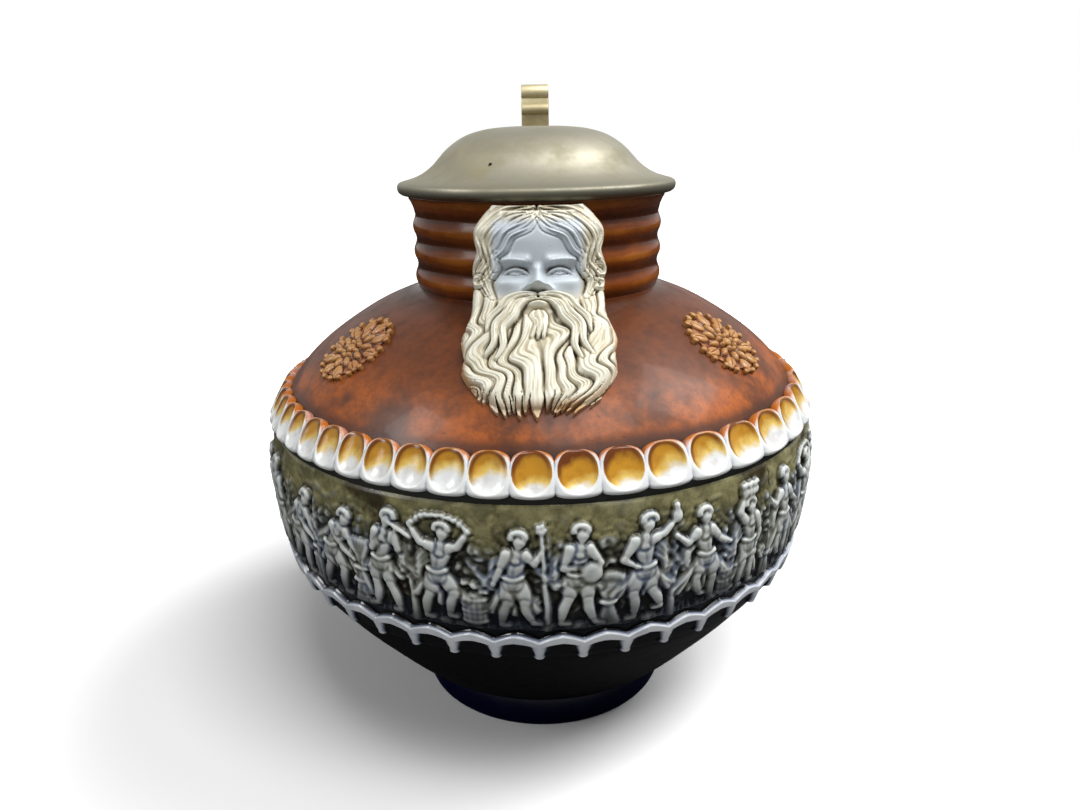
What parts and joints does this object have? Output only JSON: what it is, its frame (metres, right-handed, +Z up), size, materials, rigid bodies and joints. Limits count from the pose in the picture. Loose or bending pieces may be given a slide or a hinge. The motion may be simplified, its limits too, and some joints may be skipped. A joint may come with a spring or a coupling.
{
  "type": "lidded relief stein",
  "caption": "Round-bellied lidded stoneware stein with a bearded mask on its ribbed neck, a relief frieze between two moulded bands, and a hinged pewter lid.",
  "frame": {"origin": "centre of the flat base, on the surface the stein stands on", "axes": "+Z up, -Y towards the mask, +Y towards the handle, so +X is on the right of someone who faces the mask"},
  "size_m": [0.1722, 0.1738, 0.1943],
  "materials": {
    "brown_glaze": "satin brown salt glaze, blue-black below the arcade",
    "white_slip": "white slip under clear glaze, grey in the hollows",
    "amber_glaze": "tan relief under clear glaze",
    "honey_glaze": "white rims with honey-coloured hollows, glossy",
    "relief_glaze": "grey-white relief on an olive and slate ground",
    "pewter": "satin cast pewter"
  },
  "bodies": {
    "pot": {"pot": "brown_glaze", "handle": "brown_glaze", "face_mask": "white_slip", "rosette_left": "amber_glaze", "rosette_right": "amber_glaze", "scallop_band": "honey_glaze", "frieze_front": "relief_glaze", "frieze_right": "relief_glaze", "frieze_rear": "relief_glaze", "frieze_left": "relief_glaze", "arcade_band": "white_slip", "handle_strap": "pewter", "hinge_pin": "pewter"},
    "lid": {"lid": "pewter", "lid_shank": "pewter", "thumb_lift": "pewter"}
  },
  "joints": [
    {"name": "lid_hinge", "type": "hinge", "parent": "pot", "child": "lid", "pos_m": [0, 0.049, 0.1632], "axis": [-1, 0, 0], "range_deg": [0, 100]}
  ]
}
